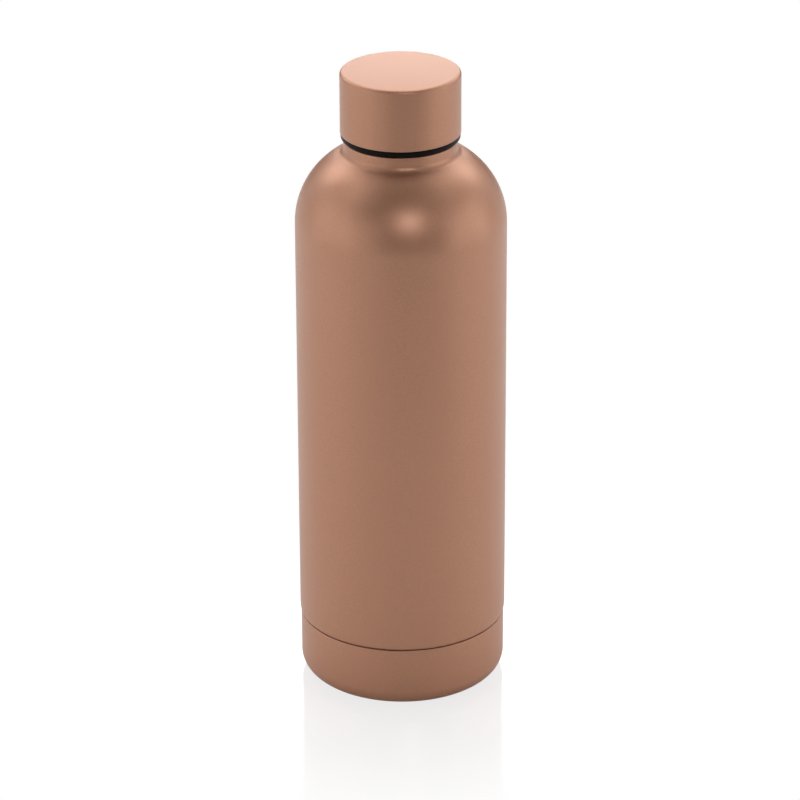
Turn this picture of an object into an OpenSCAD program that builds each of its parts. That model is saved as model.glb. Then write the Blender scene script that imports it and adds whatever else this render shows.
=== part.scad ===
// Double-wall vacuum water bottle with a screw-in stopper cap.
// Millimetres, +Z up. The origin is the middle of the base, on the surface it stands on.
// The +Z axis is the bottle's axis, and the cap unscrews anticlockwise as seen from above.

/* [Body] */
// Outside diameter of the straight wall
body_d = 71; // [62:0.5:90]
// Height above the floor at which the straight wall ends and the shoulder begins
body_h = 165.8; // [120:0.2:240]
// Radius of the domed shoulder's section
shoulder_r = 27.7; // [23:0.1:34]
// Thickness of the outer shell's steel
shell_wall = 0.5; // [0.4:0.05:0.8]
// Thickness of the inner liner's steel
liner_wall = 0.5; // [0.4:0.05:0.8]
// Vacuum space between the two walls
vacuum_gap = 3; // [2:0.1:5]
// Thickness of the reflective foil around the liner
foil_t = 0.12; // [0.05:0.01:0.3]

/* [Neck and mouth] */
// Outside diameter of the neck
neck_d = 38.1; // [34:0.1:48]
// Straight height of the neck above its fillet
neck_h = 2.55; // [1.5:0.05:8]
// Concave radius between the shoulder and the neck
neck_fillet = 2.8; // [1:0.1:4]
// Vacuum space between the two walls in the neck
neck_gap = 0.65; // [0.4:0.05:1]
// Depth of the sealing ledge below the rim
ledge_depth = 13.4; // [12:0.1:20]
// Width of the sealing ledge
ledge_w = 3; // [2.6:0.05:3.6]
// Length of the throat below the ledge
throat_h = 1.5; // [1.2:0.1:4]
// Height of the flared lead-in where the two walls meet at the rim
mouth_flare_h = 1; // [0.6:0.1:2]

/* [Base] */
// Height of the base cup, up to the seam
base_h = 22.05; // [16:0.05:40]
// Width of the open seam above the base cup
seam_h = 0.5; // [0.2:0.05:1]
// How far the base cup's side lies inside the straight wall
base_step = 0.35; // [0.2:0.05:0.8]
// Height over which the shell's lower edge rolls in to the seam
edge_roll_h = 2.4; // [1:0.1:4]
// Radius of the base cup's lower corner
base_corner_r = 6.2; // [4:0.1:9]
// Thickness of the base cup's steel
base_wall = 0.5; // [0.4:0.05:0.8]
// Glue space between the base cup and the shell
base_glue_t = 0.12; // [0.05:0.01:0.3]
// Diameter of the hollow pressed into the underside
foot_hollow_d = 48; // [30:1:52]
// Depth of the hollow pressed into the underside
foot_hollow_h = 1.2; // [0.5:0.1:2]
// Height of the shell's lower end above the floor
shell_foot_h = 9; // [8:0.1:14]
// Height of the vacuum base's underside above the floor
vacuum_base_z = 3.6; // [3:0.1:6]

/* [Cap] */
// How far the cap's side stands out from the neck
cap_overhang = 1.09; // [0.5:0.01:2]
// Height of the cap's metal shell
cap_h = 21.2; // [14:0.1:30]
// Thickness of the cap's metal shell
cap_wall = 0.5; // [0.4:0.05:0.8]
// Radius of the cap's upper edge
cap_edge_r = 1.25; // [0.8:0.05:3]
// Height of the stopper's band that shows under the cap
band_h = 2.2; // [1.8:0.1:4]
// How far the band lies inside the cap's side
band_step = 0.2; // [0.05:0.05:0.4]
// Radius of the band's lower edge
band_edge_r = 1; // [0.4:0.05:1.2]
// Gap between the rim and the band above it
rim_gap = 0.3; // [0.1:0.05:0.6]

/* [Stopper] */
// Thickness of the stopper's plastic walls
stopper_wall = 1.8; // [1.2:0.1:2.2]
// Radial space between the stopper and the metal shell pressed over it
shell_fit = 0.15; // [0.05:0.05:0.3]
// Height of the lip below the sealing ring
lip_h = 2; // [1.5:0.1:3]
// Gap around the lip in the throat
lip_clear = 0.7; // [0.4:0.05:1]
// Thickness of the cover over the insulation
cover_t = 1.5; // [1:0.1:2.5]
// Width of the rebate that the cover rests in
cover_seat_w = 0.9; // [0.5:0.1:1]
// Gap around the insulation and the cover
insert_clear = 0.1; // [0.05:0.05:0.3]
// Thickness of the glue under the metal shell's top
cap_glue_t = 0.3; // [0.1:0.05:0.5]
// Diameter of the glue pad under the metal shell's top
cap_glue_d = 28; // [16:1:30]

/* [Sealing ring] */
// Height of the ring's section
ring_h = 2.4; // [1.8:0.1:3]
// Radial width of the ring's section
ring_w = 2.7; // [2:0.1:3]
// Gap between the ring and what it touches
ring_clear = 0.08; // [0.03:0.01:0.15]

/* [Thread] */
// Rise of the thread in one turn
thread_lead = 6; // [5:0.1:8]
// Number of thread starts
thread_starts = 2; // [1:1:2]
// Height of the ridges, in the mouth and on the stopper
ridge_h = 1.2; // [0.8:0.05:1.4]
// Radial space between each ridge's crest and the wall that it faces
thread_clear = 0.5; // [0.3:0.05:0.7]
// Width of a ridge at its crest
crest_w = 0.6; // [0.4:0.05:0.8]
// Width of a ridge at its root
root_w = 1.5; // [1.2:0.05:1.7]

/* [Evacuation hole and getter] */
// Diameter of the evacuation hole
hole_d = 2; // [1:0.1:3]
// Diameter of the hollow around the evacuation hole
hole_hollow_d = 12; // [8:0.5:18]
// Depth of the hollow around the evacuation hole
hole_hollow_h = 1.2; // [0.8:0.1:1.6]
// Diameter of the sealing bead
bead_d = 4.8; // [3:0.1:6]
// Diameter of the getter pellet
getter_d = 8; // [5:0.5:10]
// Thickness of the getter pellet
getter_h = 1.2; // [0.8:0.1:1.6]
// Thickness of the getter clip's strip
clip_wall = 0.25; // [0.2:0.05:0.4]
// Distance of the getter from the bottle's axis
getter_offset = 17; // [13:0.5:22]

/* [Hidden] */

$fn = 96;
// Straight steps along a rounded corner, along the shoulder, and in one turn of the thread
corner_steps = 10;
dome_steps = 30;
turn_steps = 40;

// Radii of the body, from the outside in
body_r = body_d / 2;
base_r = body_r - base_step;
socket_r = base_r - base_wall - base_glue_t; // the shell's lower end, inside the base cup
vacuum_base_r = socket_r - shell_wall;
foil_r = body_r - shell_wall - vacuum_gap;
liner_r = foil_r - foil_t - liner_wall; // the liner's inside

// Radii of the neck, from the outside in
neck_r = neck_d / 2;
weld_r = neck_r - shell_wall;
bore_r = weld_r - neck_gap - liner_wall;
crest_r = bore_r - ridge_h;
throat_r = bore_r - ledge_w;

// Radii of the cap and its stopper
cap_r = neck_r + cap_overhang;
band_r = cap_r - band_step;
spigot_r = cap_r - cap_wall - shell_fit;
barrel_r = crest_r - thread_clear;
lip_r = throat_r - lip_clear;
ring_r = barrel_r;
groove_r = ring_r - ring_w - ring_clear;
cavity_r = barrel_r - stopper_wall;
spigot_cavity_r = spigot_r - stopper_wall;

// Heights of the shoulder and the neck
dome_x = body_r - shoulder_r;
fillet_x = neck_r + neck_fillet;
fillet_z = body_h + sqrt(pow(shoulder_r + neck_fillet, 2) - pow(fillet_x - dome_x, 2));
dome_end = atan2(fillet_z - body_h, fillet_x - dome_x);
rim_z = fillet_z + neck_h;
ledge_z = rim_z - ledge_depth;
throat_z = ledge_z - throat_h;

// The liner's own shoulder meets the throat lower down than the shell's shoulder meets the neck
ledge_nose_r = liner_wall + 0.2;
flare_r = 2;
liner_dome_r = shoulder_r - shell_wall - vacuum_gap - foil_t - liner_wall;
liner_dome_x = liner_r - liner_dome_r;
flare_x = throat_r + flare_r;
liner_dome_z = throat_z - sqrt(pow(liner_dome_r + flare_r, 2) - pow(flare_x - liner_dome_x, 2));
liner_dome_end = atan2(throat_z - liner_dome_z, flare_x - liner_dome_x);

// Heights of the base
seam_z = base_h;
shell_edge_z = base_h + seam_h;
flange_h = 4; // overlap of the vacuum base and the shell's lower end
vacuum_corner_r = base_corner_r + 0.8;
liner_corner_r = base_corner_r + 1.8;
liner_crown_h = 1.2; // rise of the liner's bottom in the middle
liner_bottom_z = vacuum_base_z + shell_wall + vacuum_gap + liner_wall;
liner_weld_z = liner_bottom_z + liner_corner_r + 4;

// Heights of the cap and its stopper
band_z = rim_z + rim_gap;
cap_z = band_z + band_h;
top_z = cap_z + cap_h;
stopper_top_z = top_z - cap_wall - cap_glue_t;
ring_z = ledge_z + ring_clear;
groove_top_z = ring_z + ring_h + ring_clear;
lip_top_z = ring_z - ring_clear;
lip_z = lip_top_z - lip_h;
cavity_z = groove_top_z + stopper_wall;

// Thread: the ridges run between the ledge and the lead-in, and stop short of both
thread_pitch = thread_lead / thread_starts;
ridge_root = 0.25; // depth to which a ridge is sunk in its wall
mouth_thread_z = groove_top_z + root_w;
mouth_thread_h = rim_z - mouth_flare_h - root_w - mouth_thread_z;
runout_share = 0.12; // part of the ridge over which its height grows or fades

// Points along a circular arc, angles in degrees, in the plane of the section
function arc(x, z, r, from, to, steps) =
    [for (i = [0:steps]) let (a = from + (to - from) * i / steps) [x + r * cos(a), z + r * sin(a)]];

// Points along a quarter of an ellipse that starts outwards and ends upwards
function quarter(x, z, w, h) =
    [for (i = [0:corner_steps]) let (a = 90 * i / corner_steps) [x + w * sin(a), z + h * (1 - cos(a))]];

function unit(v) = v / norm(v);
function left_of(v) = [-v[1], v[0]];
function reversed(list) = [for (i = [len(list) - 1:-1:0]) list[i]];

// A path without the doubled points where one arc runs on into the next
function run(path) = [
    for (i = [0:len(path) - 1])
        if (i == 0 || norm(path[i] - path[max(i, 1) - 1]) > 0.001) path[i]
];

// The same path moved to its left by t, or to its right where t is negative, and kept off the axis
function moved(path, t) = [
    for (i = [0:len(path) - 1])
        let (
            before = unit(path[max(i, 1)] - path[max(i, 1) - 1]),
            after = unit(path[min(i, len(path) - 2) + 1] - path[min(i, len(path) - 2)]),
            middle = left_of(unit(before + after)),
            point = path[i] + middle * t / (middle * left_of(before))
        )
        [max(0, point[0]), point[1]]
];

// A wall of thickness t to the left of a path, turned about the axis
module turned_wall(path, t) {
    side = run(path);
    rotate_extrude() polygon(concat(side, reversed(moved(side, t))));
}

// A helical ridge on a wall of radius r: it stands out by h, or inwards where h is negative
module ridge(r, h, z, turns, start) {
    steps = ceil(turns * turn_steps);
    runout = runout_share * steps;
    sunk_r = r - sign(h) * ridge_root;
    sections = [
        for (i = [0:steps])
            let (
                a = start + 360 * i / turn_steps,
                mid_z = z + thread_lead * i / turn_steps,
                grown = min(1, 0.25 + i / runout, 0.25 + (steps - i) / runout),
                tip_r = r + h * grown,
                half_tip = crest_w / 2,
                half_root = root_w / 2
            )
            each [
                [sunk_r * cos(a), sunk_r * sin(a), mid_z - half_root],
                [sunk_r * cos(a), sunk_r * sin(a), mid_z + half_root],
                [tip_r * cos(a), tip_r * sin(a), mid_z + half_tip],
                [tip_r * cos(a), tip_r * sin(a), mid_z - half_tip],
            ]
    ];
    last = 4 * steps;
    sides = [
        for (i = [0:steps - 1], k = [0:3])
            let (a = 4 * i + k, b = 4 * i + (k + 1) % 4)
            each [[a, b, b + 4], [a, b + 4, a + 4]]
    ];
    ends = [[3, 2, 1, 0], [last, last + 1, last + 2, last + 3]];
    faces = concat(sides, ends);
    polyhedron(points = sections, faces = h < 0 ? faces : [for (f = faces) reversed(f)]);
}

// All the starts of a thread, spaced evenly about the axis
module thread(r, h, z, height) {
    for (k = [0:thread_starts - 1])
        ridge(r, h, z, height / thread_lead, 360 * k / thread_starts);
}

// Outside of the outer shell, from its lower end out to the seam and up to the rim
shell_path = concat(
    [[socket_r, shell_foot_h], [socket_r, shell_edge_z], [body_r, shell_edge_z]],
    arc(dome_x, body_h, shoulder_r, 0, dome_end, dome_steps),
    arc(fillet_x, fillet_z, neck_fillet, dome_end - 180, -180, corner_steps),
    [[neck_r, rim_z]]
);

// What the soft roll of the shell's lower edge takes off its square corner
module edge_roll() {
    rotate_extrude() polygon(concat(
        [[body_r + 1, shell_edge_z - 1], [base_r, shell_edge_z - 1]],
        quarter(base_r, shell_edge_z, base_step, edge_roll_h),
        [[body_r + 1, shell_edge_z + edge_roll_h]]
    ));
}

module outer_shell() {
    color("#b98168") difference() {
        turned_wall(shell_path, shell_wall);
        edge_roll();
    }
}

// Inside of the liner, from its weld up to the rim
liner_path = concat(
    [[liner_r, liner_weld_z]],
    arc(liner_dome_x, liner_dome_z, liner_dome_r, 0, liner_dome_end, dome_steps),
    arc(flare_x, throat_z, flare_r, liner_dome_end - 180, -180, corner_steps),
    arc(throat_r + ledge_nose_r, ledge_z - ledge_nose_r, ledge_nose_r, 180, 90, corner_steps),
    arc(bore_r - ledge_nose_r, ledge_z + ledge_nose_r, ledge_nose_r, -90, 0, corner_steps),
    [[bore_r, rim_z - 2 * mouth_flare_h], [weld_r - liner_wall, rim_z - mouth_flare_h]],
    [[weld_r - liner_wall, rim_z]]
);

module inner_liner() {
    color("#c9cccf") union() {
        turned_wall(liner_path, -liner_wall);
        thread(bore_r, -ridge_h, mouth_thread_z, mouth_thread_h);
    }
}

// Inside of the liner's bottom: a shallow crown, a rounded corner and a collar up to the weld
crown_x = liner_r - liner_corner_r;
crown_r = (pow(crown_x, 2) + pow(liner_crown_h, 2)) / (2 * liner_crown_h);
liner_bottom_path = concat(
    arc(0, liner_bottom_z + liner_crown_h - crown_r, crown_r, 90, acos(crown_x / crown_r), corner_steps),
    arc(crown_x, liner_bottom_z + liner_corner_r, liner_corner_r, -90, 0, corner_steps),
    [[liner_r, liner_weld_z]]
);

module liner_bottom() {
    color("#c9cccf") turned_wall(liner_bottom_path, -liner_wall);
}

module copper_foil_wrap() {
    foil_margin = 4;
    color("#c8703f") translate([0, 0, liner_weld_z + foil_margin]) difference() {
        cylinder(r = foil_r, h = liner_dome_z - liner_weld_z - 2 * foil_margin);
        translate([0, 0, -1]) cylinder(r = foil_r - foil_t, h = liner_dome_z);
    }
}

// Underside of the vacuum base, from the evacuation hole out to its flange
vacuum_base_path = concat(
    [[hole_d / 2, vacuum_base_z + hole_hollow_h]],
    [[hole_hollow_d / 2 - hole_hollow_h, vacuum_base_z + hole_hollow_h]],
    [[hole_hollow_d / 2, vacuum_base_z]],
    arc(vacuum_base_r - vacuum_corner_r, vacuum_base_z + vacuum_corner_r, vacuum_corner_r, -90, 0,
        corner_steps),
    [[vacuum_base_r, vacuum_base_z + vacuum_corner_r + flange_h]]
);

module vacuum_base() {
    color("#b4b7ba") turned_wall(vacuum_base_path, shell_wall);
}

// A stem that fills the evacuation hole, and a bead below it
module vacuum_seal_bead() {
    bead_z = vacuum_base_z + hole_hollow_h;
    bead_h = 1;
    color("#6f6a5c") rotate_extrude() polygon(concat(
        [[0, bead_z + shell_wall]],
        quarter(0, bead_z - bead_h, bead_d / 2, bead_h),
        [[hole_d / 2, bead_z], [hole_d / 2, bead_z + shell_wall]]
    ));
}

module getter_clip() {
    inside_r = getter_d / 2 + insert_clear;
    inside_h = getter_h + insert_clear;
    clip_lip_w = 0.8;
    color("#9b9ea1") translate([getter_offset, 0, vacuum_base_z + shell_wall]) difference() {
        cylinder(r = inside_r + clip_wall, h = inside_h + 2 * clip_wall);
        translate([0, 0, clip_wall]) cylinder(r = inside_r, h = inside_h);
        cylinder(r = inside_r - clip_lip_w, h = inside_h + 3 * clip_wall);
    }
}

module getter_pellet() {
    color("#4b4a4c") translate([getter_offset, 0, vacuum_base_z + shell_wall + clip_wall])
        cylinder(d = getter_d, h = getter_h);
}

// Outside of the base cup, from the middle of the underside up to the seam
base_cup_path = concat(
    [[0, foot_hollow_h], [foot_hollow_d / 2 - 2 * foot_hollow_h, foot_hollow_h]],
    [[foot_hollow_d / 2, 0]],
    arc(base_r - base_corner_r, base_corner_r, base_corner_r, -90, 0, corner_steps),
    [[base_r, seam_z]]
);

module base_cup() {
    color("#b17a62") turned_wall(base_cup_path, base_wall);
}

module base_adhesive_ring() {
    glue_z = shell_foot_h + 2;
    glue_h = seam_z - 3.05 - glue_z;
    color("#e8e2c8") translate([0, 0, glue_z]) difference() {
        cylinder(r = socket_r + base_glue_t, h = glue_h);
        translate([0, 0, -1]) cylinder(r = socket_r, h = glue_h + 2);
    }
}

// A flat silicone ring with rounded outer edges
module seal_ring() {
    edge_r = 0.5;
    color("#dcdcd6") translate([0, 0, ring_z]) rotate_extrude() polygon(concat(
        [[ring_r - ring_w, 0]],
        arc(ring_r - edge_r, edge_r, edge_r, -90, 0, corner_steps),
        arc(ring_r - edge_r, ring_h - edge_r, edge_r, 0, 90, corner_steps),
        [[ring_r - ring_w, ring_h]]
    ));
}

// Section of the stopper: insulation space, spigot, band, barrel, ring groove, lip and the hollow below
module stopper_section() {
    lip_edge_r = 0.8;
    spigot_edge_r = 0.6;
    hollow_r = groove_r - stopper_wall;
    hollow_z = lip_z + 3.4;
    polygon(concat(
        [[0, cavity_z], [cavity_r, cavity_z], [cavity_r, cap_z], [spigot_cavity_r, cap_z]],
        [[spigot_cavity_r, stopper_top_z - cover_t]],
        [[spigot_cavity_r + cover_seat_w, stopper_top_z - cover_t]],
        [[spigot_cavity_r + cover_seat_w, stopper_top_z]],
        arc(spigot_r - spigot_edge_r, stopper_top_z - spigot_edge_r, spigot_edge_r, 90, 0, corner_steps),
        [[spigot_r, cap_z], [band_r, cap_z]],
        arc(band_r - band_edge_r, band_z + band_edge_r, band_edge_r, 0, -90, corner_steps),
        [[barrel_r, band_z], [barrel_r, groove_top_z]],
        [[groove_r, groove_top_z], [groove_r, lip_top_z], [lip_r, lip_top_z]],
        arc(lip_r - lip_edge_r, lip_z + lip_edge_r, lip_edge_r, 0, -90, corner_steps),
        [[hollow_r, lip_z], [hollow_r, hollow_z], [0, hollow_z]]
    ));
}

module stopper_core() {
    color("#15130f") union() {
        rotate_extrude() stopper_section();
        translate([0, 0, thread_pitch / 2])
            thread(barrel_r, ridge_h, mouth_thread_z, mouth_thread_h - thread_pitch / 2);
    }
}

module insulation_plug() {
    upper_h = stopper_top_z - cover_t - cap_z - insert_clear;
    color("#f1efe6") union() {
        translate([0, 0, cavity_z + insert_clear])
            cylinder(r = cavity_r - insert_clear, h = cap_z - cavity_z);
        translate([0, 0, cap_z + insert_clear])
            cylinder(r = spigot_cavity_r - insert_clear, h = upper_h - insert_clear);
    }
}

module core_cover() {
    color("#26241f") translate([0, 0, stopper_top_z - cover_t])
        cylinder(r = spigot_cavity_r + cover_seat_w - insert_clear, h = cover_t);
}

module cap_adhesive_pad() {
    color("#e8e2c8") translate([0, 0, stopper_top_z]) cylinder(d = cap_glue_d, h = cap_glue_t);
}

// Outside of the cap, from the open edge up over the top
cap_path = concat(
    [[cap_r, cap_z]],
    arc(cap_r - cap_edge_r, top_z - cap_edge_r, cap_edge_r, 0, 90, corner_steps),
    [[0, top_z]]
);

module cap_shell() {
    color("#b98168") turned_wall(cap_path, cap_wall);
}

outer_shell();
inner_liner();
liner_bottom();
copper_foil_wrap();
vacuum_base();
vacuum_seal_bead();
getter_clip();
getter_pellet();
base_cup();
base_adhesive_ring();
seal_ring();
stopper_core();
insulation_plug();
core_cover();
cap_adhesive_pad();
cap_shell();
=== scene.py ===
"""A double-wall vacuum bottle with a satin copper coat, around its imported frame. Metres, +Z up."""

import math

import bmesh
import bpy
from mathutils import Matrix, Vector


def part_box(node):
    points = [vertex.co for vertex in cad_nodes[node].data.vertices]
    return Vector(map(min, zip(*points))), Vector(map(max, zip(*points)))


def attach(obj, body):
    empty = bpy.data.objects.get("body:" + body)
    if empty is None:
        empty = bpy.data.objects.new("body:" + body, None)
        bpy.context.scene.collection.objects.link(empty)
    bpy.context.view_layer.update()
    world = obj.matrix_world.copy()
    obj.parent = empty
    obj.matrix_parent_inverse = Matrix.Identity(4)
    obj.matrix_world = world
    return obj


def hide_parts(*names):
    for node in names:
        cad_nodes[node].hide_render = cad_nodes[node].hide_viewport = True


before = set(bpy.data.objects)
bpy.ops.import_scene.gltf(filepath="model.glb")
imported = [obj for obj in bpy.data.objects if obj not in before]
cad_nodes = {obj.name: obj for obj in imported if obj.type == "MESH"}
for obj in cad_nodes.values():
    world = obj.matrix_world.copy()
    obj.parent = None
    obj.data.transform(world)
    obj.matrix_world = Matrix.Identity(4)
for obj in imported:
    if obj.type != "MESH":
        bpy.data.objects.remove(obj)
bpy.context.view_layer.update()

MM = 0.001


# ---------------------------------------------------------------- sizes

def outside_r(node):
    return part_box(node)[1].x


def low_z(node):
    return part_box(node)[0].z


def high_z(node):
    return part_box(node)[1].z


# Sheet metal, and the shapes pressed into it
SHEET = 0.5 * MM
GLUE_W = 0.12 * MM
SEAM_GAP = 0.5 * MM
EDGE_ROLL = 2.4 * MM
SHOULDER_R = 27.7 * MM
SHOULDER_Z = 165.8 * MM
NECK_R = 19.05 * MM
NECK_FILLET = 2.8 * MM
BASE_CORNER_R = 6.2 * MM
FOOT_HOLLOW_R = 24 * MM
FOOT_HOLLOW = 1.2 * MM
CAP_EDGE_R = 1.25 * MM
LINER_DOME_R = 23.58 * MM
LEDGE_NOSE_R = 0.7 * MM
THROAT_FLARE_R = 2 * MM
BORE_R = 17.4 * MM
THROAT_R = 14.4 * MM
THROAT_H = 1.5 * MM
MOUTH_R = 18.05 * MM
MOUTH_FLARE_H = 1 * MM

# The stopper
PLASTIC_WALL = 1.8 * MM
SPIGOT_CLEAR = 0.15 * MM
BAND_H = 2.2 * MM
BAND_EDGE_R = 1 * MM
RING_W = 2.7 * MM
RING_CLEAR = 0.08 * MM
LIP_H = 2 * MM
LIP_EDGE_R = 0.8 * MM
LIP_CLEAR = 0.7 * MM
HOLLOW_H = 3.4 * MM
COVER_H = 1.5 * MM
COVER_SEAT = 0.9 * MM

# The thread
LEAD = 6 * MM
PITCH = 3 * MM
RIDGE_H = 1.2 * MM
CREST_W = 0.6 * MM
ROOT_W = 1.5 * MM
RIDGE_SUNK = 0.25 * MM
RUN_OUT = 0.12
CREST_ROUND = 0.14 * MM

# Steps in a full turn
TURN_STEPS = 192
RIDGE_STEPS = 96

# Radii and heights that the frame gives
body_r = outside_r("outer_shell")
base_r = outside_r("base_cup")
socket_r = outside_r("base_adhesive_ring") - GLUE_W
liner_r = outside_r("liner_bottom") - SHEET
cap_r = outside_r("cap_shell")
band_r = outside_r("stopper_core")
barrel_r = outside_r("seal_ring")
shell_foot_z = low_z("outer_shell")
seam_low_z = high_z("base_cup")
rim_z = high_z("outer_shell")
throat_ring_z = low_z("seal_ring")
ring_high_z = high_z("seal_ring")
lip_z = low_z("stopper_core")
stopper_top_z = high_z("stopper_core")
cap_low_z = low_z("cap_shell")
cap_top_z = high_z("cap_shell")
liner_weld_z = high_z("liner_bottom")


# ---------------------------------------------------------------- sections

def arc(x, z, r, start, end, steps=12):
    """Points on an arc in the plane of a section. Angles are in degrees."""
    angles = [math.radians(start + (end - start) * i / steps) for i in range(steps + 1)]
    return [(x + r * math.cos(a), z + r * math.sin(a)) for a in angles]


def rolled_edge(x, z, width, height, steps=12):
    """A quarter of an ellipse that starts outwards and ends upwards."""
    angles = [math.pi / 2 * i / steps for i in range(steps + 1)]
    return [(x + width * math.sin(a), z + height * (1 - math.cos(a))) for a in angles]


def left_of(v):
    """The direction a quarter turn to the left of another."""
    return Vector((-v.y, v.x))


def clean(path):
    """The path without the points that one arc shares with the next."""
    kept = [path[0]]
    for point in path[1:]:
        if math.dist(point, kept[-1]) > 0.001 * MM:
            kept.append(point)
    return kept


def beside(path, distance):
    """The path moved to its left by a distance, and kept off the axis."""
    moved = []
    for i, point in enumerate(path):
        before = (Vector(path[max(i, 1)]) - Vector(path[max(i, 1) - 1])).normalized()
        j = min(i, len(path) - 2)
        after = (Vector(path[j + 1]) - Vector(path[j])).normalized()
        side = left_of((before + after).normalized())
        place = Vector(point) + side * distance / side.dot(left_of(before))
        moved.append((max(0.0, place.x), place.y))
    return moved


def sheet_section(path, thickness):
    """A closed section: the path, and the other face of the sheet on its left."""
    face = clean(path)
    return face + beside(face, thickness)[::-1]


# ---------------------------------------------------------------- meshes

def turned(section):
    """Spins a closed section about the bottle's axis, and closes it where it meets the axis."""
    bm = bmesh.new()
    points = [bm.verts.new((x, 0, z)) for x, z in section]
    edges = []
    for a, b in zip(points, points[1:] + points[:1]):
        if a.co.x > 0 or b.co.x > 0:
            edges.append(bm.edges.new((a, b)))
    bmesh.ops.spin(bm, geom=points + edges, cent=(0, 0, 0), axis=(0, 0, 1), angle=2 * math.pi,
                   steps=TURN_STEPS, use_merge=True)
    bmesh.ops.remove_doubles(bm, verts=bm.verts, dist=0.0001 * MM)
    bmesh.ops.recalc_face_normals(bm, faces=bm.faces)
    return bm


def add_ridge(bm, wall_r, height, low, rise, start):
    """Spins one thread ridge along its helix. Its height grows and fades at its two ends."""
    steps = math.ceil(rise / LEAD * RIDGE_STEPS)
    sunk_r = wall_r - math.copysign(RIDGE_SUNK, height)
    tip_r = wall_r + height
    ridge = bmesh.new()
    corners = [(sunk_r, -ROOT_W / 2), (sunk_r, ROOT_W / 2), (tip_r, CREST_W / 2), (tip_r, -CREST_W / 2)]
    end = ridge.faces.new([ridge.verts.new((x, 0, low + z)) for x, z in corners])
    bmesh.ops.spin(ridge, geom=[end, *end.edges, *end.verts], cent=(0, 0, 0), axis=(0, 0, 1),
                   angle=2 * math.pi * steps / RIDGE_STEPS, steps=steps,
                   dvec=(0, 0, LEAD / RIDGE_STEPS), use_merge=False)
    turns = steps / RIDGE_STEPS
    for vert in ridge.verts:
        around = math.atan2(vert.co.y, vert.co.x) / (2 * math.pi)
        along = around + round((vert.co.z - low) / LEAD - around)
        share = min(1, 0.25 + min(along, turns - along) / (RUN_OUT * turns))
        r = vert.co.xy.length
        if abs(r - tip_r) < abs(r - sunk_r):
            vert.co.xy *= (wall_r + height * share) / r
    bmesh.ops.recalc_face_normals(ridge, faces=ridge.faces)
    crests = [edge for edge in ridge.edges if crest_edge(edge, wall_r, height)]
    bmesh.ops.bevel(ridge, geom=crests, offset=CREST_ROUND, offset_type="OFFSET", affect="EDGES",
                    segments=2, profile=0.5, material=-1)
    bmesh.ops.rotate(ridge, cent=(0, 0, 0), matrix=Matrix.Rotation(start, 3, "Z"), verts=ridge.verts)
    loose = bpy.data.meshes.new("ridge")
    ridge.to_mesh(loose)
    ridge.free()
    bm.from_mesh(loose)
    bpy.data.meshes.remove(loose)


def crest_edge(edge, wall_r, height):
    """True for an edge that runs along a ridge's crest."""
    a, b = edge.verts
    along = math.dist(a.co.xy, b.co.xy) > 0.3 * MM
    out = [(v.co.xy.length - wall_r) * height > 0 for v in edge.verts]
    return along and all(out)


def finished(name, bm, body, node):
    """Makes the piece that stands for a CAD node: smooth, with sharp edges where its faces turn."""
    mesh = bpy.data.meshes.new(name)
    bm.to_mesh(mesh)
    bm.free()
    mesh.shade_smooth()
    mesh.set_sharp_from_angle(angle=math.radians(30))
    piece = bpy.data.objects.new(name, mesh)
    bpy.context.scene.collection.objects.link(piece)
    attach(piece, body)
    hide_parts(node)
    return piece


# ---------------------------------------------------------------- the bottle's pieces

def outer_wall():
    """The outer shell: socket, rolled-in lower edge, straight wall, shoulder, fillet and neck."""
    shoulder_x = body_r - SHOULDER_R
    fillet_x = NECK_R + NECK_FILLET
    fillet_z = SHOULDER_Z + math.sqrt((SHOULDER_R + NECK_FILLET) ** 2 - (fillet_x - shoulder_x) ** 2)
    meeting = math.degrees(math.atan2(fillet_z - SHOULDER_Z, fillet_x - shoulder_x))
    edge_z = seam_low_z + SEAM_GAP
    lip = 0.2 * MM
    weld = 0.15 * MM
    path = [(socket_r, shell_foot_z), (socket_r, edge_z - lip)]
    path += arc(socket_r + lip, edge_z - lip, lip, 180, 90, 4)
    path += rolled_edge(base_r, edge_z, body_r - base_r, EDGE_ROLL)
    path += arc(shoulder_x, SHOULDER_Z, SHOULDER_R, 0, meeting, 48)
    path += arc(fillet_x, fillet_z, NECK_FILLET, meeting - 180, -180, 20)
    path += arc(NECK_R - weld, rim_z - weld, weld, 0, 90, 4)
    path = clean(path)
    inside = [(NECK_R - SHEET, rim_z)]
    inside += arc(fillet_x, fillet_z, NECK_FILLET + SHEET, -180, meeting - 180, 20)
    inside += arc(shoulder_x, SHOULDER_Z, SHOULDER_R - SHEET, meeting, 0, 48)
    inside += [(body_r - SHEET, edge_z + EDGE_ROLL), (socket_r + lip, edge_z + SHEET)]
    inside += [(socket_r - SHEET, edge_z + 0.1 * MM), (socket_r - SHEET, shell_foot_z)]
    return turned(path + clean(inside))


def base_wall():
    """The base cup: hollow underside, rounded corner, and a rounded edge under the seam."""
    edge = 0.2 * MM
    hollow_bend = 1.2 * MM
    foot_bend = 1.4 * MM
    path = [(0, FOOT_HOLLOW), (FOOT_HOLLOW_R - 3.4 * MM, FOOT_HOLLOW)]
    path += arc(FOOT_HOLLOW_R - 2.4 * MM, FOOT_HOLLOW - hollow_bend, hollow_bend, 100, 45, 6)
    path += arc(FOOT_HOLLOW_R + 0.9 * MM, foot_bend, foot_bend, 225, 270, 6)
    path += arc(base_r - BASE_CORNER_R, BASE_CORNER_R, BASE_CORNER_R, -90, 0, 24)
    path += arc(base_r - edge, seam_low_z - edge, edge, 0, 80, 5)
    return turned(sheet_section(path, SHEET))


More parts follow.
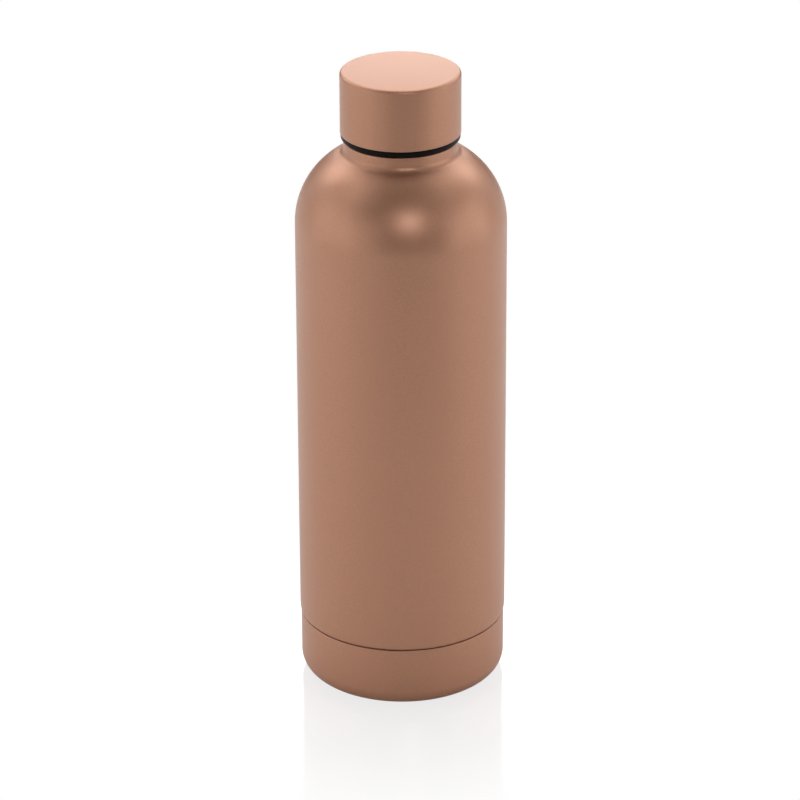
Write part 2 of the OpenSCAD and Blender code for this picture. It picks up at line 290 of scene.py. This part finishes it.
def cap_wall():
    """The cap's metal shell, with its rounded upper edge and a rounded open edge."""
    edge = 0.12 * MM
    top = [(cap_r, cap_low_z + edge)]
    top += arc(cap_r - CAP_EDGE_R, cap_top_z - CAP_EDGE_R, CAP_EDGE_R, 0, 90, 20)
    top += [(0, cap_top_z)]
    under = [(0, cap_top_z - SHEET)]
    under += arc(cap_r - CAP_EDGE_R, cap_top_z - CAP_EDGE_R, CAP_EDGE_R - SHEET, 90, 0, 12)
    under += [(cap_r - SHEET, cap_low_z), (cap_r - edge, cap_low_z)]
    return turned(clean(top) + under)


def mouth_thread_low():
    """Height of the lowest ridge's middle: just above the stopper's ring groove."""
    return ring_high_z + RING_CLEAR + ROOT_W


def mouth_thread_rise():
    """How far a ridge climbs before it stops short of the mouth's flare."""
    return rim_z - MOUTH_FLARE_H - ROOT_W - mouth_thread_low()


def inner_wall():
    """The inner liner: its dome, throat, sealing ledge, threaded mouth and welded rim."""
    ledge_z = throat_ring_z - RING_CLEAR
    throat_z = ledge_z - THROAT_H
    dome_x = liner_r - LINER_DOME_R
    flare_x = THROAT_R + THROAT_FLARE_R
    dome_z = throat_z - math.sqrt((LINER_DOME_R + THROAT_FLARE_R) ** 2 - (flare_x - dome_x) ** 2)
    meeting = math.degrees(math.atan2(throat_z - dome_z, flare_x - dome_x))
    nose = LEDGE_NOSE_R
    path = [(liner_r, liner_weld_z)]
    path += arc(dome_x, dome_z, LINER_DOME_R, 0, meeting, 40)
    path += arc(flare_x, throat_z, THROAT_FLARE_R, meeting - 180, -180)
    path += arc(THROAT_R + nose, ledge_z - nose, nose, 180, 90, 8)
    path += arc(BORE_R - nose, ledge_z + nose, nose, -90, 0, 8)
    path += [(BORE_R, rim_z - 2 * MOUTH_FLARE_H), (MOUTH_R, rim_z - MOUTH_FLARE_H), (MOUTH_R, rim_z)]
    bm = turned(sheet_section(path, -SHEET))
    for start in (0, math.pi):
        add_ridge(bm, BORE_R, -RIDGE_H, mouth_thread_low(), mouth_thread_rise(), start)
    return bm


def stopper():
    """The stopper: spigot for the cap's shell, band, threaded barrel, ring groove and lip."""
    spigot_r = cap_r - SHEET - SPIGOT_CLEAR
    spigot_in = spigot_r - PLASTIC_WALL
    cavity_r = barrel_r - PLASTIC_WALL
    groove_z = ring_high_z + RING_CLEAR
    groove_r = barrel_r - RING_W - RING_CLEAR
    lip_top = lip_z + LIP_H
    lip_r = THROAT_R - LIP_CLEAR
    band_low = cap_low_z - BAND_H
    hollow_r = groove_r - PLASTIC_WALL
    hollow_z = lip_z + HOLLOW_H
    seat_z = stopper_top_z - COVER_H
    top_edge = 0.6 * MM
    bend = 0.5 * MM
    edge = 0.2 * MM
    fine_edge = 0.15 * MM
    hollow_edge = 0.3 * MM
    section = [(0, groove_z + PLASTIC_WALL), (cavity_r, groove_z + PLASTIC_WALL), (cavity_r, cap_low_z)]
    section += [(spigot_in, cap_low_z), (spigot_in, seat_z), (spigot_in + COVER_SEAT, seat_z)]
    section += [(spigot_in + COVER_SEAT, stopper_top_z)]
    section += arc(spigot_r - top_edge, stopper_top_z - top_edge, top_edge, 90, 0, 8)
    section += [(spigot_r, cap_low_z)]
    section += arc(band_r - fine_edge, cap_low_z - fine_edge, fine_edge, 90, 0, 4)
    section += arc(band_r - BAND_EDGE_R, band_low + BAND_EDGE_R, BAND_EDGE_R, 0, -90)
    section += arc(barrel_r + bend, band_low - bend, bend, 90, 180, 6)
    section += arc(barrel_r - edge, groove_z + edge, edge, 0, -90, 4)
    section += [(groove_r, groove_z), (groove_r, lip_top)]
    section += arc(lip_r - edge, lip_top - edge, edge, 90, 0, 4)
    section += arc(lip_r - LIP_EDGE_R, lip_z + LIP_EDGE_R, LIP_EDGE_R, 0, -90)
    section += arc(hollow_r + hollow_edge, lip_z + hollow_edge, hollow_edge, -90, -180, 4)
    section += arc(hollow_r - bend, hollow_z - bend, bend, 0, 90, 6)
    section += [(0, hollow_z)]
    bm = turned(clean(section))
    low = mouth_thread_low() + PITCH / 2
    rise = mouth_thread_rise() - PITCH / 2
    for start in (0, math.pi):
        add_ridge(bm, barrel_r, RIDGE_H, low, rise, start)
    return bm


def sealing_ring():
    """The silicone ring: flat faces, rounded outside, and a flash line around its middle."""
    low, high = throat_ring_z, ring_high_z
    middle = (low + high) / 2
    inner = barrel_r - RING_W
    edge = 0.5 * MM
    flash = 0.06 * MM
    corner = 0.1 * MM
    section = [(inner + corner, low)]
    section += arc(barrel_r - edge, low + edge, edge, -90, -6)
    section += [(barrel_r - flash, middle - flash), (barrel_r, middle), (barrel_r - flash, middle + flash)]
    section += arc(barrel_r - edge, high - edge, edge, 6, 90)
    section += [(inner + corner, high), (inner, high - corner), (inner, low + corner)]
    return turned(section)


# ---------------------------------------------------------------- finishes

def effect_group(name, inputs, outputs):
    """An empty shader group with named number inputs and named outputs."""
    group = bpy.data.node_groups.new(name, "ShaderNodeTree")
    group.interface.new_socket("Vector", in_out="INPUT", socket_type="NodeSocketVector")
    for label, value in inputs.items():
        socket = group.interface.new_socket(label, in_out="INPUT", socket_type="NodeSocketFloat")
        socket.default_value = value
    for label in outputs:
        group.interface.new_socket(label, in_out="OUTPUT", socket_type="NodeSocketFloat")
    return group, group.nodes.new("NodeGroupInput"), group.nodes.new("NodeGroupOutput")


def noise(tree, vector, scale, detail, roughness=0.5):
    """A noise field. Its scale is a number, or an output socket of another node."""
    node = tree.nodes.new("ShaderNodeTexNoise")
    node.inputs["Detail"].default_value = detail
    node.inputs["Roughness"].default_value = roughness
    tree.links.new(vector, node.inputs["Vector"])
    if isinstance(scale, bpy.types.NodeSocket):
        tree.links.new(scale, node.inputs["Scale"])
    else:
        node.inputs["Scale"].default_value = scale
    return node.outputs["Fac"]


def maths(tree, operation, *values, clamp=False):
    """A Math node on numbers and sockets."""
    node = tree.nodes.new("ShaderNodeMath")
    node.operation = operation
    node.use_clamp = clamp
    for socket, value in zip(node.inputs, values):
        if isinstance(value, bpy.types.NodeSocket):
            tree.links.new(value, socket)
        else:
            socket.default_value = value
    return node.outputs[0]


def spread(tree, value, low, high):
    """Stretches the middle of a noise field over 0 to 1."""
    node = tree.nodes.new("ShaderNodeMapRange")
    node.inputs["From Min"].default_value = low
    node.inputs["From Max"].default_value = high
    tree.links.new(value, node.inputs["Value"])
    return node.outputs["Result"]


def make_powder_grain():
    """Powder coat and moulded grain: fine pits over a slow orange-peel wave, with a fleck mask."""
    inputs = {"Grain Scale": 2200, "Peel Scale": 420, "Peel Share": 0.35}
    group, given, out = effect_group("powder_grain", inputs, ("Height", "Fleck", "Drift"))
    vector = given.outputs["Vector"]
    fine = noise(group, vector, given.outputs["Grain Scale"], 2, 0.6)
    peel = noise(group, vector, given.outputs["Peel Scale"], 1)
    wave = maths(group, "MULTIPLY", peel, given.outputs["Peel Share"])
    group.links.new(maths(group, "ADD", fine, wave), out.inputs["Height"])
    group.links.new(spread(group, fine, 0.36, 0.64), out.inputs["Fleck"])
    group.links.new(spread(group, noise(group, vector, 28, 2), 0.35, 0.65), out.inputs["Drift"])
    return group


def make_turned_marks():
    """Fine rings left by polishing a spun wall: noise stretched around the axis."""
    group, given, out = effect_group("turned_marks", {"Ring Scale": 5200}, ("Height", "Streak", "Haze"))
    vector = given.outputs["Vector"]
    flatten = group.nodes.new("ShaderNodeVectorMath")
    flatten.operation = "MULTIPLY"
    flatten.inputs[1].default_value = (0.012, 0.012, 1)
    group.links.new(vector, flatten.inputs[0])
    rings = noise(group, flatten.outputs[0], given.outputs["Ring Scale"], 3, 0.65)
    group.links.new(rings, out.inputs["Height"])
    group.links.new(spread(group, rings, 0.32, 0.68), out.inputs["Streak"])
    group.links.new(spread(group, noise(group, vector, 60, 3), 0.35, 0.65), out.inputs["Haze"])
    return group


def new_finish(name, **values):
    """A material with a Principled shader whose constants are set on its own sockets."""
    material = bpy.data.materials.new(name)
    material.use_nodes = True
    tree = material.node_tree
    shader = tree.nodes["Principled BSDF"]
    for label, value in values.items():
        shader.inputs[label.replace("_", " ")].default_value = value
    place = tree.nodes.new("ShaderNodeTexCoord").outputs["Object"]
    return material, tree, shader, place


def placed(tree, group, vector, **values):
    """A group node in a material, with its own values."""
    node = tree.nodes.new("ShaderNodeGroup")
    node.node_tree = group
    tree.links.new(vector, node.inputs["Vector"])
    for label, value in values.items():
        node.inputs[label.replace("_", " ")].default_value = value
    return node.outputs


def two_tone(tree, shader, mask, first, second):
    """Base colour that runs between two shades along a mask."""
    mix = tree.nodes.new("ShaderNodeMix")
    mix.data_type = "RGBA"
    mix.inputs["A"].default_value = (*first, 1)
    mix.inputs["B"].default_value = (*second, 1)
    tree.links.new(mask, mix.inputs["Factor"])
    tree.links.new(mix.outputs["Result"], shader.inputs["Base Color"])


def varied_roughness(tree, shader, mask, low, high):
    """Roughness that runs between two values along a mask."""
    node = tree.nodes.new("ShaderNodeMapRange")
    node.inputs["To Min"].default_value = low
    node.inputs["To Max"].default_value = high
    tree.links.new(mask, node.inputs["Value"])
    tree.links.new(node.outputs["Result"], shader.inputs["Roughness"])


def bumped(tree, shader, height, depth, strength=1.0):
    """A bump of a real depth in metres."""
    bump = tree.nodes.new("ShaderNodeBump")
    bump.inputs["Strength"].default_value = strength
    bump.inputs["Distance"].default_value = depth
    tree.links.new(height, bump.inputs["Height"])
    tree.links.new(bump.outputs["Normal"], shader.inputs["Normal"])


powder_grain = make_powder_grain()
turned_marks = make_turned_marks()


def copper_powder_coat():
    """Satin copper powder coat: fine metallic pigment under a thin clear layer."""
    material, tree, shader, place = new_finish("copper_powder_coat", Metallic=0.75, Coat_Weight=0.5,
                                               Coat_Roughness=0.32, Coat_IOR=1.5)
    grain = placed(tree, powder_grain, place, Grain_Scale=2300, Peel_Scale=420, Peel_Share=0.3)
    two_tone(tree, shader, grain["Fleck"], (0.586, 0.292, 0.181), (0.642, 0.320, 0.199))
    varied_roughness(tree, shader, grain["Drift"], 0.43, 0.47)
    bumped(tree, shader, grain["Height"], 0.018 * MM)
    return material


def spun_steel(name, tone, low, high):
    """Stainless steel with fine rings around the axis."""
    material, tree, shader, place = new_finish(name, Metallic=1.0)
    marks = placed(tree, turned_marks, place)
    two_tone(tree, shader, marks["Streak"], [0.92 * c for c in tone], tone)
    varied_roughness(tree, shader, marks["Haze"], low, high)
    bumped(tree, shader, marks["Height"], 0.004 * MM)
    return material


def grained(name, first, second, low, high, depth, scale, **values):
    """A moulded, pressed or cast surface with an even grain of its own size."""
    material, tree, shader, place = new_finish(name, **values)
    grain = placed(tree, powder_grain, place, Grain_Scale=scale, Peel_Scale=scale / 6, Peel_Share=0.4)
    two_tone(tree, shader, grain["Fleck"], first, second)
    varied_roughness(tree, shader, grain["Drift"], low, high)
    bumped(tree, shader, grain["Height"], depth)
    return material


def crinkled_foil():
    """Thin copper foil with shallow creases from being wrapped by hand."""
    material, tree, shader, place = new_finish("wrinkled_foil", Metallic=1.0)
    creases = tree.nodes.new("ShaderNodeTexVoronoi")
    creases.feature = "DISTANCE_TO_EDGE"
    creases.inputs["Scale"].default_value = 90
    tree.links.new(place, creases.inputs["Vector"])
    marks = placed(tree, turned_marks, place, Ring_Scale=2600)
    two_tone(tree, shader, marks["Streak"], (0.86, 0.43, 0.26), (0.95, 0.53, 0.36))
    varied_roughness(tree, shader, marks["Haze"], 0.16, 0.26)
    bumped(tree, shader, creases.outputs["Distance"], 0.5 * MM)
    return material


def dress(node, material):
    """Gives a carried-over CAD node its finish."""
    slots = cad_nodes[node].material_slots
    if not slots:
        cad_nodes[node].data.materials.append(material)
    for slot in slots:
        slot.material = material


# ---------------------------------------------------------------- making the bottle

coat = copper_powder_coat()
steel = spun_steel("polished_steel", (0.70, 0.69, 0.67), 0.22, 0.32)
dull_steel = spun_steel("pressed_steel", (0.58, 0.57, 0.55), 0.34, 0.46)
black_plastic = grained("moulded_black", (0.0014, 0.0012, 0.0010), (0.0026, 0.0023, 0.0020), 0.32, 0.40,
                        0.008 * MM, 1500, Specular_IOR_Level=0.14)
silicone = grained("clear_silicone", (0.72, 0.72, 0.69), (0.80, 0.80, 0.77), 0.42, 0.5, 0.006 * MM, 900,
                   Subsurface_Weight=0.3, Subsurface_Scale=0.0015)
foam = grained("stiff_foam", (0.74, 0.72, 0.66), (0.88, 0.87, 0.82), 0.85, 0.95, 0.3 * MM, 700)
glue = grained("cured_glue", (0.66, 0.60, 0.42), (0.76, 0.70, 0.52), 0.3, 0.42, 0.05 * MM, 500)
glass = grained("sealing_glass", (0.10, 0.09, 0.07), (0.16, 0.14, 0.11), 0.08, 0.16, 0.01 * MM, 600,
                Coat_Weight=0.4, Coat_Roughness=0.06)
powder = grained("pressed_powder", (0.045, 0.044, 0.046), (0.085, 0.083, 0.086), 0.8, 0.92, 0.06 * MM, 2600)
foil = crinkled_foil()

pieces = {
    "coated_outer_shell": (outer_wall(), "copper_coat", "bottle", "outer_shell", coat),
    "coated_base_cup": (base_wall(), "copper_coat", "bottle", "base_cup", coat),
    "steel_liner_with_thread": (inner_wall(), "stainless_steel", "bottle", "inner_liner", steel),
    "coated_cap_shell": (cap_wall(), "copper_coat", "cap", "cap_shell", coat),
    "stopper_with_thread": (stopper(), "black_plastic", "cap", "stopper_core", black_plastic),
    "silicone_ring": (sealing_ring(), "silicone", "seal", "seal_ring", silicone),
}
for piece_name, (piece_mesh, slot_name, body_name, node_name, finish) in pieces.items():
    made = finished(piece_name, piece_mesh, body_name, node_name)
    made.data.materials.append(finish)

dress("liner_bottom", steel)
dress("vacuum_base", dull_steel)
dress("getter_clip", dull_steel)
dress("getter_pellet", powder)
dress("copper_foil_wrap", foil)
dress("vacuum_seal_bead", glass)
dress("base_adhesive_ring", glue)
dress("cap_adhesive_pad", glue)
dress("insulation_plug", foam)
dress("core_cover", black_plastic)


# ---------------------------------------------------------------- floor, light and camera

def pale_floor():
    """A white sweep that shows a soft mirror image close to the bottle's foot."""
    bm = bmesh.new()
    bmesh.ops.create_grid(bm, x_segments=1, y_segments=1, size=6)
    bmesh.ops.translate(bm, vec=(0, 0, -0.02 * MM), verts=bm.verts)
    mesh = bpy.data.meshes.new("floor")
    bm.to_mesh(mesh)
    bm.free()
    floor = bpy.data.objects.new("floor", mesh)
    bpy.context.scene.collection.objects.link(floor)
    material = bpy.data.materials.new("white_floor")
    material.use_nodes = True
    tree = material.node_tree
    tree.nodes.clear()
    place = tree.nodes.new("ShaderNodeTexCoord").outputs["Object"]
    distance = tree.nodes.new("ShaderNodeVectorMath")
    distance.operation = "LENGTH"
    tree.links.new(place, distance.inputs[0])
    fade = tree.nodes.new("ShaderNodeMapRange")
    fade.inputs["From Min"].default_value = 0.032
    fade.inputs["From Max"].default_value = 0.118
    fade.inputs["To Min"].default_value = 0.20
    fade.inputs["To Max"].default_value = 0.0
    tree.links.new(distance.outputs["Value"], fade.inputs["Value"])
    lit = tree.nodes.new("ShaderNodeEmission")
    mirror = tree.nodes.new("ShaderNodeBsdfGlossy")
    mirror.inputs["Roughness"].default_value = 0.12
    seen = tree.nodes.new("ShaderNodeMixShader")
    tree.links.new(fade.outputs["Result"], seen.inputs["Fac"])
    tree.links.new(lit.outputs[0], seen.inputs[1])
    tree.links.new(mirror.outputs[0], seen.inputs[2])
    matt = tree.nodes.new("ShaderNodeBsdfDiffuse")
    matt.inputs["Color"].default_value = (0.85, 0.85, 0.85, 1)
    rays = tree.nodes.new("ShaderNodeLightPath")
    both = tree.nodes.new("ShaderNodeMixShader")
    tree.links.new(rays.outputs["Is Camera Ray"], both.inputs["Fac"])
    tree.links.new(matt.outputs[0], both.inputs[1])
    tree.links.new(seen.outputs[0], both.inputs[2])
    out = tree.nodes.new("ShaderNodeOutputMaterial")
    tree.links.new(both.outputs[0], out.inputs["Surface"])
    floor.data.materials.append(material)


def white_room(strength):
    """White to the camera, and an even soft light to everything else."""
    world = bpy.data.worlds.new("white_room")
    bpy.context.scene.world = world
    world.use_nodes = True
    tree = world.node_tree
    soft = tree.nodes["Background"]
    soft.inputs["Color"].default_value = (1, 1, 1, 1)
    soft.inputs["Strength"].default_value = strength
    plain = tree.nodes.new("ShaderNodeBackground")
    plain.inputs["Color"].default_value = (1, 1, 1, 1)
    rays = tree.nodes.new("ShaderNodeLightPath")
    both = tree.nodes.new("ShaderNodeMixShader")
    tree.links.new(rays.outputs["Is Camera Ray"], both.inputs["Fac"])
    tree.links.new(soft.outputs[0], both.inputs[1])
    tree.links.new(plain.outputs[0], both.inputs[2])
    tree.links.new(both.outputs[0], tree.nodes["World Output"].inputs["Surface"])


def softbox(name, azimuth, elevation, distance, width, height, power):
    """An area light that faces the bottle's middle. Azimuth 0 is the front, and turns to the right."""
    light = bpy.data.lights.new(name, "AREA")
    light.shape = "RECTANGLE"
    light.size = width
    light.size_y = height
    light.energy = power
    a, e = math.radians(azimuth), math.radians(elevation)
    aim = Vector((0, 0, 0.11))
    offset = Vector((math.sin(a) * math.cos(e), -math.cos(a) * math.cos(e), math.sin(e)))
    lamp = bpy.data.objects.new(name, light)
    lamp.location = aim + offset * distance
    lamp.rotation_euler = (-offset).to_track_quat("-Z", "Y").to_euler()
    lamp.visible_camera = False
    bpy.context.scene.collection.objects.link(lamp)


def camera(place, target, length, roll):
    """A long lens, a little above the bottle, tilted a hair to the left."""
    lens = bpy.data.cameras.new("camera")
    lens.lens = length
    lens.sensor_width = 36
    view = bpy.data.objects.new("camera", lens)
    view.location = place
    aim = Vector(target) - view.location
    tilt = Matrix.Rotation(roll, 4, "Z")
    view.rotation_euler = (aim.to_track_quat("-Z", "Y").to_matrix().to_4x4() @ tilt).to_euler()
    bpy.context.scene.collection.objects.link(view)
    bpy.context.scene.camera = view


# Name, azimuth, elevation, distance, width, height and power of each lamp
lamps = (
    ("left_front_strip", -35, 5, 1.0, 0.35, 1.0, 0.8),
    ("left_strip", -62, 5, 1.0, 0.4, 1.0, 1.5),
    ("right_strip", 62, 5, 1.0, 0.4, 1.0, 1.5),
    ("left_side_wall", -92, 5, 1.0, 0.5, 1.0, 1.7),
    ("right_side_wall", 92, 5, 1.0, 0.5, 1.0, 2.0),
    ("left_back_wall", -130, 15, 1.0, 0.7, 0.9, 1.1),
    ("right_back_wall", 130, 15, 1.0, 0.7, 0.9, 1.1),
    ("back_wall", 180, 20, 1.2, 0.9, 0.3, 2.7),
    ("left_back_corner", -135, 38, 1.0, 0.4, 0.4, 1.1),
    ("right_back_corner", 135, 38, 1.0, 0.4, 0.4, 1.1),
    ("back_ceiling", 180, 60, 1.0, 0.6, 0.5, 2.1),
    ("middle_ceiling", 180, 80, 1.0, 0.4, 0.3, 1.0),
    ("left_back_ceiling", -115, 60, 1.0, 0.4, 0.4, 0.4),
    ("right_back_ceiling", 115, 60, 1.0, 0.4, 0.4, 0.4),
    ("left_ceiling", -80, 50, 1.0, 0.5, 0.5, 0.7),
    ("right_ceiling", 80, 50, 1.0, 0.5, 0.5, 0.4),
    ("small_front_lamp", 12, 33, 1.2, 0.26, 0.32, 1.1),
    ("wide_front_lamp", 10, 34, 1.2, 0.4, 0.4, 0.9),
)

pale_floor()
white_room(0.002)
for lamp_values in lamps:
    softbox(*lamp_values)
camera((-0.00055, -1.28270, 0.67853), (-0.00055, 0, 0.10017), 185.68, -0.0040)

bpy.context.scene.view_settings.view_transform = "Standard"
bpy.context.scene.view_settings.look = "None"
